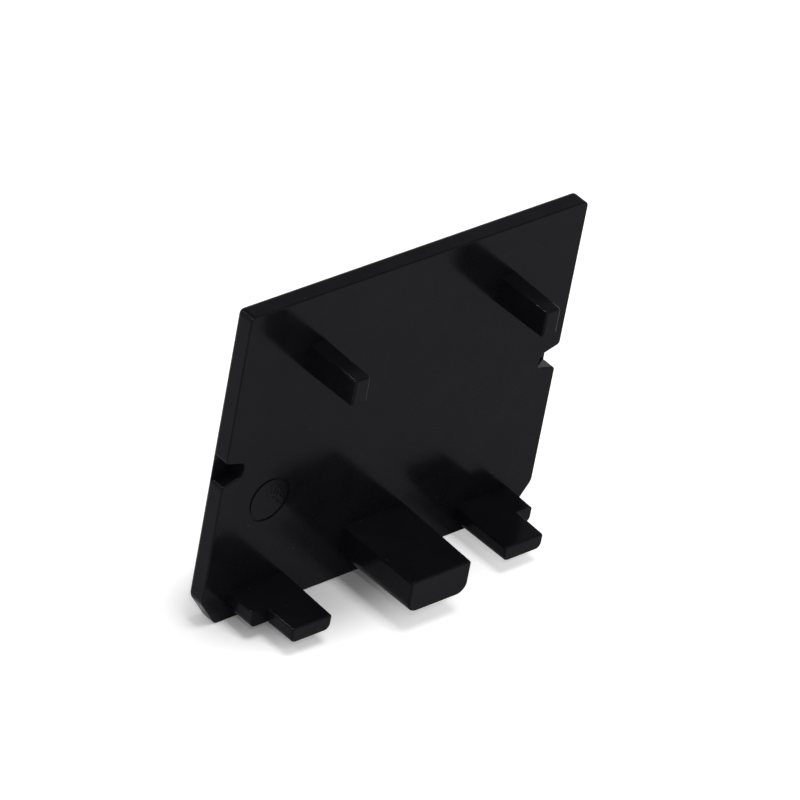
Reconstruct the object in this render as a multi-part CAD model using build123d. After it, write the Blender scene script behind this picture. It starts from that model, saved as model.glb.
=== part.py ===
from build123d import *
import os
from math import radians, tan

# End cap for an extruded light profile, moulded in one piece. A flat plate covers the cut end of the
# profile. On its inner side a tongue, two stepped lugs and two pegs push into the profile.
# Sizes are in millimetres. The seat face, which meets the cut end, is the plane Y = 0, and the origin is
# its centre. The plate lies on the +Y side, everything that enters the profile points toward -Y, +Z is up.

# Plate
plate_width = 30.0
plate_height = 26.0
plate_thickness = 1.5
rim_radius = 0.35  # rounding round the outer face
corner_land = 0.08  # corner radius that is left on the outer face, inside the rounded rim
corner_radius = rim_radius + corner_land
seat_edge_radius = 0.1

# Slanted cuts across the two bottom corners
cut_width = 1.55
cut_height = 2.2
cut_bend_radius = 1.0

# Prying notches half way up both sides, open to the side and to the seat face
notch_mouth = 2.0
notch_depth = 1.72
notch_flare = 16.0  # degrees between each wall and the notch's centre line
notch_end_radius = 0.45
notch_mouth_radius = 0.3
lip_thickness = 0.28  # wall between the notch and the outer face
notch_centre_z = 0.0

# Every part that enters the profile shrinks by this many degrees on each side, so that it leaves the mould
draft_angle = 0.75
edge_radius = 0.2  # upper edges that run out from the seat face
tip_radius = 0.15  # edges round each free end

# Tongue, in the middle
tongue_width = 5.56
tongue_height = 2.85
tongue_length = 7.3
tongue_lower_radius = 0.9
tongue_gap_below = 1.7  # from the plate's bottom edge to the tongue's underside

# Lugs, one at each side, full width up to a shoulder and narrower beyond it
lug_inner_x = 7.8
lug_width = 4.95
lug_height = 1.4
lug_length = 5.4
lug_lower_radius = 0.5
lug_gap_below = 1.1
shoulder_width = 1.3
shoulder_length = 2.6

# Pegs, near the top edge
peg_spacing = 17.0
peg_width = 1.4
peg_height = 2.3
peg_length = 4.8
peg_drop = 3.95  # from the plate's top edge to the peg's top
peg_lower_radius = 0.2
peg_nose = 0.45  # bevel under each peg's free end, which leads it into the profile

# Ring that a mould pin leaves on the seat face
ring_radius = 1.8
ring_width = 0.24
ring_depth = 0.08
ring_x = -10.45
ring_z = -3.44

bottom_z = -plate_height / 2
top_z = plate_height / 2
side_x = plate_width / 2
pocket_depth = plate_thickness - lip_thickness

# Sketches on this plane read as X to the right and Z up. A positive extrusion goes toward -Y.
seat = Plane.XZ


def plate_outline():
    """Rectangle with its two bottom corners cut off and every bend rounded."""
    right = [(side_x, top_z), (side_x, bottom_z + cut_height), (side_x - cut_width, bottom_z)]
    left = [(-x, z) for x, z in reversed(right)]
    outline = make_face(Polyline(*right, *left, close=True))
    ends = outline.vertices().group_by(Axis.Y)[0] + outline.vertices().group_by(Axis.Y)[-1]
    outline = fillet(ends, corner_radius)
    bends = outline.vertices().filter_by(is_at_cut_bend)
    return fillet(bends, cut_bend_radius)


def is_at_cut_bend(vertex):
    """True for the vertex between a side and its slanted corner cut."""
    return abs(vertex.Y - bottom_z - cut_height) < 0.001


def notched(outline):
    """The outline with a prying notch in both sides."""
    slope = tan(radians(notch_flare))
    end_half = notch_mouth / 2 - notch_depth * slope
    outer_half = notch_mouth / 2 + notch_depth * slope
    inner_x = side_x - notch_depth
    outer_x = side_x + notch_depth
    wedge = make_face(
        Polyline((inner_x, end_half), (outer_x, outer_half), (outer_x, -outer_half), (inner_x, -end_half), close=True)
    )
    wedge = fillet(wedge.vertices().group_by(Axis.X)[0], notch_end_radius)
    wedge = Pos(0, notch_centre_z) * wedge
    cut = outline - wedge - mirror(wedge, about=Plane.YZ)
    return fillet(cut.vertices().filter_by(is_at_notch_mouth), notch_mouth_radius)


def is_at_notch_mouth(vertex):
    """True for the two corners where a notch meets the side of the plate."""
    on_side = abs(abs(vertex.X) - side_x) < 0.001
    return on_side and abs(vertex.Y - notch_centre_z) < notch_mouth


def plate():
    """Flat plate with a rounded rim, corner cuts and the two notches."""
    outline = plate_outline()
    body = extrude(seat * outline, amount=-plate_thickness)
    body = fillet(body.faces().sort_by(Axis.Y)[-1].edges(), rim_radius)
    surround = Rectangle(plate_width + 4 * notch_depth, notch_mouth * 3)
    surround = Pos(0, notch_centre_z) * surround
    body -= extrude(seat * (surround - notched(outline)), amount=-pocket_depth)
    return fillet(body.faces().sort_by(Axis.Y)[0].outer_wire().edges(), seat_edge_radius)


def block(width, height, length):
    """Straight block on the seat face, with one side at X = 0 and its middle height at Z = 0."""
    section = Rectangle(width, height, align=(Align.MIN, Align.CENTER))
    return extrude(seat * section, amount=length)


def drafted(solid):
    """The solid with every wall that runs out from the seat face leaning in toward the free end."""
    walls = solid.faces().filter_by(lambda face: abs(face.normal_at().Y) < 0.5)
    return draft(walls, seat, draft_angle)


def edges_beside(solid, low_z, high_z):
    """The edges that run out from the seat face, between two heights."""
    along = solid.edges().filter_by(Axis.Y, tolerance=2 * draft_angle)
    return along.filter_by(lambda edge: low_z < edge.center().Z < high_z)


def rounded(solid, height, lower_radius):
    """The solid with its long edges rounded, the lower ones to a radius of their own."""
    solid = fillet(edges_beside(solid, -height, -height / 4), lower_radius)
    return fillet(edges_beside(solid, height / 4, height), edge_radius)


def round_tip(solid):
    """The solid with the edges of its free end rounded."""
    return fillet(solid.faces().sort_by(Axis.Y)[0].edges(), tip_radius)


def tongue():
    solid = drafted(block(tongue_width, tongue_height, tongue_length))
    solid = round_tip(rounded(solid, tongue_height, tongue_lower_radius))
    return Pos(-tongue_width / 2, 0, bottom_z + tongue_gap_below + tongue_height / 2) * solid


def right_lug():
    base = block(lug_width, lug_height, shoulder_length)
    tip = block(lug_width - shoulder_width, lug_height, lug_length)
    solid = rounded(drafted(base + tip), lug_height, lug_lower_radius)
    return Pos(lug_inner_x, 0, bottom_z + lug_gap_below + lug_height / 2) * round_tip(solid)


def right_peg():
    solid = drafted(block(peg_width, peg_height, peg_length))
    solid = round_tip(rounded(solid, peg_height, peg_lower_radius))
    corner = Plane.YZ * Pos(-peg_length, -peg_height / 2)
    bevel = extrude(corner * Rectangle(peg_nose, peg_nose, rotation=45), amount=peg_width)
    return Pos((peg_spacing - peg_width) / 2, 0, top_z - peg_drop - peg_height / 2) * (solid - bevel)


def ring_groove():
    ring = Circle(ring_radius) - Circle(ring_radius - ring_width)
    return extrude(seat * Pos(ring_x, ring_z) * ring, amount=-ring_depth)


def end_cap():
    cap = plate() + tongue()
    for side in (right_lug(), right_peg()):
        cap += side
        cap += mirror(side, about=Plane.YZ)
    return cap - ring_groove()


os.makedirs("parts", exist_ok=True)
export_step(end_cap(), "parts/end_cap.step")
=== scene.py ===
"""A moulded push-in end cap for an extruded light profile, on a pale studio floor."""

from math import cos, radians, sin

import bmesh
import bpy
from bpy.props import FloatProperty, FloatVectorProperty, PointerProperty
from bpy.types import Operator, Panel, PropertyGroup
from mathutils import Matrix, Vector


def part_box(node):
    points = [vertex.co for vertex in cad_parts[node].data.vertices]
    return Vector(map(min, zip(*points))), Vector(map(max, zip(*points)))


bl_info = {
    "name": "Profile End Cap",
    "version": (1, 0, 0),
    "blender": (4, 5, 0),
    "location": "3D View > Sidebar > End Cap",
    "description": "Finishes a moulded profile end cap and sets it on a studio floor",
    "category": "Object",
}


def srgb(code):
    """Linear red, green and blue of an sRGB hex colour such as "#1a1a1c"."""
    channels = [int(code[i : i + 2], 16) / 255 for i in (1, 3, 5)]
    return tuple(c / 12.92 if c <= 0.04045 else ((c + 0.055) / 1.055) ** 2.4 for c in channels)


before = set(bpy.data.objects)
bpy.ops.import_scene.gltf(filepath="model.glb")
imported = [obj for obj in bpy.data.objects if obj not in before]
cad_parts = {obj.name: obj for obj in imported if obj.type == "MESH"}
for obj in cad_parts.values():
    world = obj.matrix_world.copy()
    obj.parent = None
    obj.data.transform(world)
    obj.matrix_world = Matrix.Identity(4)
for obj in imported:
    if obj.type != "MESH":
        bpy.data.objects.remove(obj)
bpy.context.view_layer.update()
CAP_NODE = "end_cap"
CAP_LOW, CAP_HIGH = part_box(CAP_NODE)
MM = 0.001

# The patch inside the ring that the mould pin leaves on the seat face.
PIN_CENTRE = Vector((-10.45, 0.0, -3.44)) * MM
PIN_RADIUS = 1.7 * MM
PIN_CORE = 0.7  # share of the radius inside which the pin's marks are at full strength

# Skin of the plastic.
ABS_IOR = 1.5
ABS_SPECULAR = 0.072  # far below the usual 0.5, because the skin stays dark in a room that is white all round
ABS_SPECULAR_TINT = srgb("#efefff")
GRAIN_STRENGTH = 0.35
FLOW_RANGE = (0.3, 0.7)  # levels of the flow noise that give the least and the most roughness
ROUGHNESS_SPREAD = (0.85, 1.2)  # least and most roughness, as shares of the stated one
CLOUD_RANGE = (0.35, 0.7)  # levels of the flow noise between which the paler clouds come in
CLOUD_STRENGTH = 0.02
SPECK_EDGE = 0.05  # in cells of the dust pattern, as is the next
SPECK_CORE = 0.02
SPECK_STRENGTH = 0.3

# Sockets of a Mix node that blends colours. Their names are shared by its sockets for plain numbers.
MIX_COLOUR_A = 6
MIX_COLOUR_B = 7
MIX_COLOUR_RESULT = 2

WHITE = (1.0, 1.0, 1.0, 1.0)

# Floor: a wide sheet with a painted glow for the camera alone, which fades out in an oval round the cap's
# foot and so leaves painted shade there.
FLOOR_SIZE = 4.0
FLOOR_GLOW = 0.5
GLOW_START = 0.2  # share of the shadow's reach up to which there is no glow
OVAL_SHIFT = 2.0 * MM
OVAL_SQUASH = 0.42

# World, by the upward part of a direction: white up to HORIZON_TOP, dim from CEILING_EDGE.
HORIZON_TOP = 0.2
CEILING_EDGE = 0.6
HORIZON_STRENGTH = 1.0
CEILING_STRENGTH = 0.3

# Lamps: name, place, side and power. The front one gives the glints on the corners, the back one the
# light on the plate's edges, and the overhead one the soft shadow.
LAMPS = (
    ("Front lamp", (-0.40, -0.42, 0.52), 0.02, 0.45),
    ("Back lamp", (-0.42, 0.4, 0.5), 0.035, 0.5),
    ("Overhead lamp", (0.0, -0.1, 0.8), 0.3, 2.5),
)

# Camera.
AIM_POINT = Vector((0.60, 0.27, 0.90)) * MM
LENS_MM = 337.5
SENSOR_MM = 36.0
CLIP_NEAR = 0.01
CLIP_FAR = 50.0


def add_node(tree, kind, settings=None, links=None):
    """A new shader node. settings fill its properties or sockets, and links join outputs to its inputs."""
    node = tree.nodes.new(kind)
    for name, value in (settings or {}).items():
        if isinstance(name, str) and hasattr(node, name):
            setattr(node, name, value)
        else:
            node.inputs[name].default_value = value
    for name, output in (links or {}).items():
        tree.links.new(output, node.inputs[name])
    return node


def new_material(name):
    """An empty node material and its tree."""
    material = bpy.data.materials.new(name)
    material.use_nodes = True
    material.node_tree.nodes.clear()
    return material, material.node_tree


class CapFinish(PropertyGroup):
    """Colour and surface of the moulded cap."""

    plastic_colour: FloatVectorProperty(
        name="Plastic colour",
        description="Colour of the black ABS",
        subtype="COLOR",
        size=3,
        min=0.0,
        max=1.0,
        default=srgb("#101013"),
    )
    roughness: FloatProperty(
        name="Roughness",
        description="How far the moulded surface blurs a reflection",
        subtype="FACTOR",
        min=0.0,
        max=1.0,
        default=0.16,
    )
    dust_colour: FloatVectorProperty(
        name="Dust colour",
        description="Colour of the dust on the plastic",
        subtype="COLOR",
        size=3,
        min=0.0,
        max=1.0,
        default=srgb("#4c4c55"),
    )
    dust_spacing: FloatProperty(
        name="Dust spacing",
        description="Distance between specks of dust",
        unit="LENGTH",
        default=1.6 * MM,
    )
    pin_mark_spacing: FloatProperty(
        name="Pin mark spacing",
        description="Distance between the marks that the mould pin's face leaves",
        unit="LENGTH",
        default=0.3 * MM,
    )
    pin_mark_depth: FloatProperty(
        name="Pin mark depth",
        description="Depth of the marks that the mould pin's face leaves",
        unit="LENGTH",
        default=0.02 * MM,
    )
    flow_mark_spacing: FloatProperty(
        name="Flow mark spacing",
        description="Distance between the faint cloudy marks where the plastic flowed",
        unit="LENGTH",
        default=2.5 * MM,
    )
    grain_spacing: FloatProperty(
        name="Grain spacing",
        description="Distance between the fine grains of the skin, drawn coarse enough to show",
        unit="LENGTH",
        default=0.25 * MM,
    )
    grain_depth: FloatProperty(
        name="Grain depth",
        description="Depth of the fine grains of the skin",
        unit="LENGTH",
        default=0.004 * MM,
    )


class StageSettings(PropertyGroup):
    """Floor, lamps and camera."""

    floor_colour: FloatVectorProperty(
        name="Floor colour",
        description="Colour of the floor",
        subtype="COLOR",
        size=3,
        min=0.0,
        max=1.0,
        default=srgb("#f4f4f4"),
    )
    # Reach of the painted shade round the cap's foot, within which the floor's painted glow is left out.
    painted_shadow_reach: FloatProperty(
        name="Shadow reach",
        description="Distance from the cap at which its shadow has faded",
        unit="LENGTH",
        default=7.5 * MM,
    )
    camera_distance: FloatProperty(
        name="Camera distance",
        description="From the camera to the point it looks at",
        unit="LENGTH",
        default=0.5102,
    )
    camera_azimuth: FloatProperty(
        name="Camera azimuth",
        description="Direction to the camera, turned from the cap's inner side toward its right",
        unit="ROTATION",
        default=radians(-46.45),
    )
    camera_elevation: FloatProperty(
        name="Camera elevation",
        description="Height of the camera above the level of the cap",
        unit="ROTATION",
        default=radians(34.71),
    )
    camera_roll: FloatProperty(
        name="Camera roll",
        description="Turn of the camera about its own line of sight",
        unit="ROTATION",
        default=radians(10.9),
    )


def moulded_abs(finish):
    """Black ABS, injection moulded in a finely finished steel mould.

    Its skin gives short blurred mirror images of the pegs, lugs and tongue, and soft glints on the rounded
    corners. Fine grain, flow marks and specks of dust keep the flat face from looking like glass.
    """
    material, tree = new_material("Black ABS, moulded satin")
    place = add_node(tree, "ShaderNodeTexCoord").outputs["Object"]
    flow = add_node(
        tree,
        "ShaderNodeTexNoise",
        {"Scale": 1 / finish.flow_mark_spacing, "Detail": 3.0, "Roughness": 0.6},
        {"Vector": place},
    )
    # The real grain is too fine to show, so it is drawn as coarse as it needs to be.
    grain = add_node(
        tree,
        "ShaderNodeTexNoise",
        {"Scale": 1 / finish.grain_spacing, "Detail": 2.0, "Roughness": 0.5},
        {"Vector": place},
    )
    roughness = add_node(
        tree,
        "ShaderNodeMapRange",
        {
            "From Min": FLOW_RANGE[0],
            "From Max": FLOW_RANGE[1],
            "To Min": finish.roughness * ROUGHNESS_SPREAD[0],
            "To Max": finish.roughness * ROUGHNESS_SPREAD[1],
        },
        {"Value": flow.outputs["Fac"]},
    )
    skin = add_node(
        tree,
        "ShaderNodeBump",
        {"Strength": GRAIN_STRENGTH, "Distance": finish.grain_depth},
        {"Height": grain.outputs["Fac"]},
    )
    # The mould pin's face is rougher cut, so the patch inside its ring breaks up what it mirrors.
    from_pin = add_node(
        tree, "ShaderNodeVectorMath", {"operation": "DISTANCE", 1: PIN_CENTRE}, {0: place}
    )
    pin_patch = add_node(
        tree,
        "ShaderNodeMapRange",
        {"From Min": PIN_RADIUS, "From Max": PIN_RADIUS * PIN_CORE, "To Min": 0.0, "To Max": 1.0},
        {"Value": from_pin.outputs["Value"]},
    )
    pin_marks = add_node(
        tree,
        "ShaderNodeTexNoise",
        {"Scale": 1 / finish.pin_mark_spacing, "Detail": 1.0},
        {"Vector": place},
    )
    skin = add_node(
        tree,
        "ShaderNodeBump",
        {"Distance": finish.pin_mark_depth},
        {
            "Strength": pin_patch.outputs["Result"],
            "Height": pin_marks.outputs["Fac"],
            "Normal": skin.outputs["Normal"],
        },
    )
    # Handling dust: a pale speck in some of the cells of a loose pattern.
    cells = add_node(
        tree, "ShaderNodeTexVoronoi", {"Scale": 1 / finish.dust_spacing}, {"Vector": place}
    )
    dust = add_node(
        tree,
        "ShaderNodeMapRange",
        {"From Min": SPECK_EDGE, "From Max": SPECK_CORE, "To Min": 0.0, "To Max": SPECK_STRENGTH},
        {"Value": cells.outputs["Distance"]},
    )
    cloud = add_node(
        tree,
        "ShaderNodeMapRange",
        {
            "From Min": CLOUD_RANGE[0],
            "From Max": CLOUD_RANGE[1],
            "To Min": 0.0,
            "To Max": CLOUD_STRENGTH,
        },
        {"Value": flow.outputs["Fac"]},
    )
    paleness = add_node(
        tree,
        "ShaderNodeMath",
        {"operation": "MAXIMUM"},
        {0: dust.outputs["Result"], 1: cloud.outputs["Result"]},
    )
    colour = add_node(
        tree,
        "ShaderNodeMix",
        {
            "data_type": "RGBA",
            MIX_COLOUR_A: (*finish.plastic_colour, 1.0),
            MIX_COLOUR_B: (*finish.dust_colour, 1.0),
        },
        {0: paleness.outputs["Value"]},
    )
    shader = add_node(
        tree,
        "ShaderNodeBsdfPrincipled",
        {
            "IOR": ABS_IOR,
            "Specular IOR Level": ABS_SPECULAR,
            "Specular Tint": (*ABS_SPECULAR_TINT, 1.0),
        },
        {
            "Base Color": colour.outputs[MIX_COLOUR_RESULT],
            "Roughness": roughness.outputs["Result"],
            "Normal": skin.outputs["Normal"],
        },
    )
    add_node(tree, "ShaderNodeOutputMaterial", links={"Surface": shader.outputs["BSDF"]})
    return material


class ENDCAP_OT_body(Operator):
    """Give the cap its moulded black finish"""

    bl_idname = "endcap.body"
    bl_label = "Cap"

    def execute(self, context):
        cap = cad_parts[CAP_NODE]
        cap.data.materials.clear()
        cap.data.materials.append(moulded_abs(context.scene.cap_finish))
        for polygon in cap.data.polygons:
            polygon.use_smooth = True
        return {"FINISHED"}


def floor_material(stage):
    """Seamless matt paper, which scatters light evenly.

    A painted glow that only the camera sees keeps it almost white outside an oval round the cap's foot.
    Inside the oval the glow fades out, which paints shade over the cap's rendered shadow.
    It adds no light to the cap.
    """
    material, tree = new_material("Paper floor")
    paper = add_node(tree, "ShaderNodeBsdfDiffuse", {"Color": (*stage.floor_colour, 1.0)})
    place = add_node(tree, "ShaderNodeTexCoord").outputs["Object"]
    # The painted glow fades out in an oval round the cap's foot, so that its contact shadow stays dark; the
    # oval without glow is painted shade.
    oval = add_node(
        tree,
        "ShaderNodeMapping",
        {"Location": (OVAL_SHIFT, 0.0, 0.0), "Scale": (OVAL_SQUASH, 1.0, 0.0)},
        {"Vector": place},
    )
    reach = add_node(tree, "ShaderNodeVectorMath", {"operation": "LENGTH"}, {0: oval.outputs["Vector"]})
    glow = add_node(
        tree,
        "ShaderNodeMapRange",
        {
            "interpolation_type": "SMOOTHSTEP",
            "From Min": stage.painted_shadow_reach * GLOW_START,
            "From Max": stage.painted_shadow_reach,
            "To Min": 0.0,
            "To Max": FLOOR_GLOW,
        },
        {"Value": reach.outputs["Value"]},
    )
    light = add_node(
        tree, "ShaderNodeEmission", {"Color": WHITE}, {"Strength": glow.outputs["Result"]}
    )
    lit = add_node(
        tree, "ShaderNodeAddShader", links={0: paper.outputs["BSDF"], 1: light.outputs["Emission"]}
    )
    rays = add_node(tree, "ShaderNodeLightPath")
    mix = add_node(
        tree,
        "ShaderNodeMixShader",
        links={0: rays.outputs["Is Camera Ray"], 1: paper.outputs["BSDF"], 2: lit.outputs["Shader"]},
    )
    add_node(tree, "ShaderNodeOutputMaterial", links={"Surface": mix.outputs["Shader"]})
    return material


def add_floor(stage):
    """A wide level sheet under the plate's bottom edge."""
    mesh = bpy.data.meshes.new("floor")
    sheet = bmesh.new()
    bmesh.ops.create_grid(sheet, x_segments=1, y_segments=1, size=FLOOR_SIZE)
    sheet.to_mesh(mesh)
    sheet.free()
    floor = bpy.data.objects.new("floor", mesh)
    floor.location.z = CAP_LOW.z
    mesh.materials.append(floor_material(stage))
    bpy.context.scene.collection.objects.link(floor)


def add_lamp(name, place, side, power, target):
    """A square soft lamp that faces the target."""
    data = bpy.data.lights.new(name, "AREA")
    data.size = side
    data.energy = power
    lamp = bpy.data.objects.new(name, data)
    lamp.location = place
    lamp.rotation_euler = (target - Vector(place)).to_track_quat("-Z", "Y").to_euler()
    bpy.context.scene.collection.objects.link(lamp)


def add_world():
    """A white horizon under a dimmer ceiling."""
    world = bpy.data.worlds.new("Studio")
    world.use_nodes = True
    tree = world.node_tree
    tree.nodes.clear()
    direction = add_node(tree, "ShaderNodeTexCoord").outputs["Generated"]
    height = add_node(tree, "ShaderNodeSeparateXYZ", links={"Vector": direction}).outputs["Z"]
    strength = add_node(
        tree,
        "ShaderNodeMapRange",
        {
            "interpolation_type": "SMOOTHSTEP",
            "From Min": HORIZON_TOP,
            "From Max": CEILING_EDGE,
            "To Min": HORIZON_STRENGTH,
            "To Max": CEILING_STRENGTH,
        },
        {"Value": height},
    )
    light = add_node(
        tree,
        "ShaderNodeBackground",
        {"Color": WHITE},
        {"Strength": strength.outputs["Result"]},
    )
    add_node(tree, "ShaderNodeOutputWorld", links={"Surface": light.outputs["Background"]})
    bpy.context.scene.world = world


def add_camera(stage):
    """A long lens, aimed near the middle of the plate."""
    data = bpy.data.cameras.new("Camera")
    data.sensor_width = SENSOR_MM
    data.lens = LENS_MM
    data.clip_start = CLIP_NEAR
    data.clip_end = CLIP_FAR
    camera = bpy.data.objects.new("Camera", data)
    level = cos(stage.camera_elevation)
    away = Vector(
        (
            level * sin(stage.camera_azimuth),
            -level * cos(stage.camera_azimuth),
            sin(stage.camera_elevation),
        )
    )
    camera.location = AIM_POINT + away * stage.camera_distance
    turn = (-away).to_track_quat("-Z", "Y").to_matrix() @ Matrix.Rotation(stage.camera_roll, 3, "Z")
    camera.rotation_euler = turn.to_euler()
    bpy.context.scene.collection.objects.link(camera)
    bpy.context.scene.camera = camera


class ENDCAP_OT_stage(Operator):
    """Set up the floor, the lamps and the camera"""

    bl_idname = "endcap.stage"
    bl_label = "Stage"

    def execute(self, context):
        stage = context.scene.stage_settings
        add_floor(stage)
        add_world()
        middle = (CAP_LOW + CAP_HIGH) / 2
        for lamp in LAMPS:
            add_lamp(*lamp, target=middle)
        add_camera(stage)
        context.scene.view_settings.view_transform = "Standard"
        return {"FINISHED"}


class ENDCAP_PT_panel(Panel):
    """Buttons and values for the end cap"""

    bl_label = "Profile End Cap"
    bl_idname = "ENDCAP_PT_panel"
    bl_space_type = "VIEW_3D"
    bl_region_type = "UI"
    bl_category = "End Cap"

    def draw(self, context):
        for group in (context.scene.cap_finish, context.scene.stage_settings):
            for name in group.__annotations__:
                self.layout.prop(group, name)
        for operator in OPERATORS:
            self.layout.operator(operator.bl_idname)


OPERATORS = (ENDCAP_OT_body, ENDCAP_OT_stage)
CLASSES = (CapFinish, StageSettings, *OPERATORS, ENDCAP_PT_panel)


def register():
    for cls in CLASSES:
        bpy.utils.register_class(cls)
    bpy.types.Scene.cap_finish = PointerProperty(type=CapFinish)
    bpy.types.Scene.stage_settings = PointerProperty(type=StageSettings)


def unregister():
    del bpy.types.Scene.stage_settings
    del bpy.types.Scene.cap_finish
    for cls in reversed(CLASSES):
        bpy.utils.unregister_class(cls)


def main():
    register()
    bpy.ops.endcap.body()
    bpy.ops.endcap.stage()


if __name__ == "__main__":
    main()
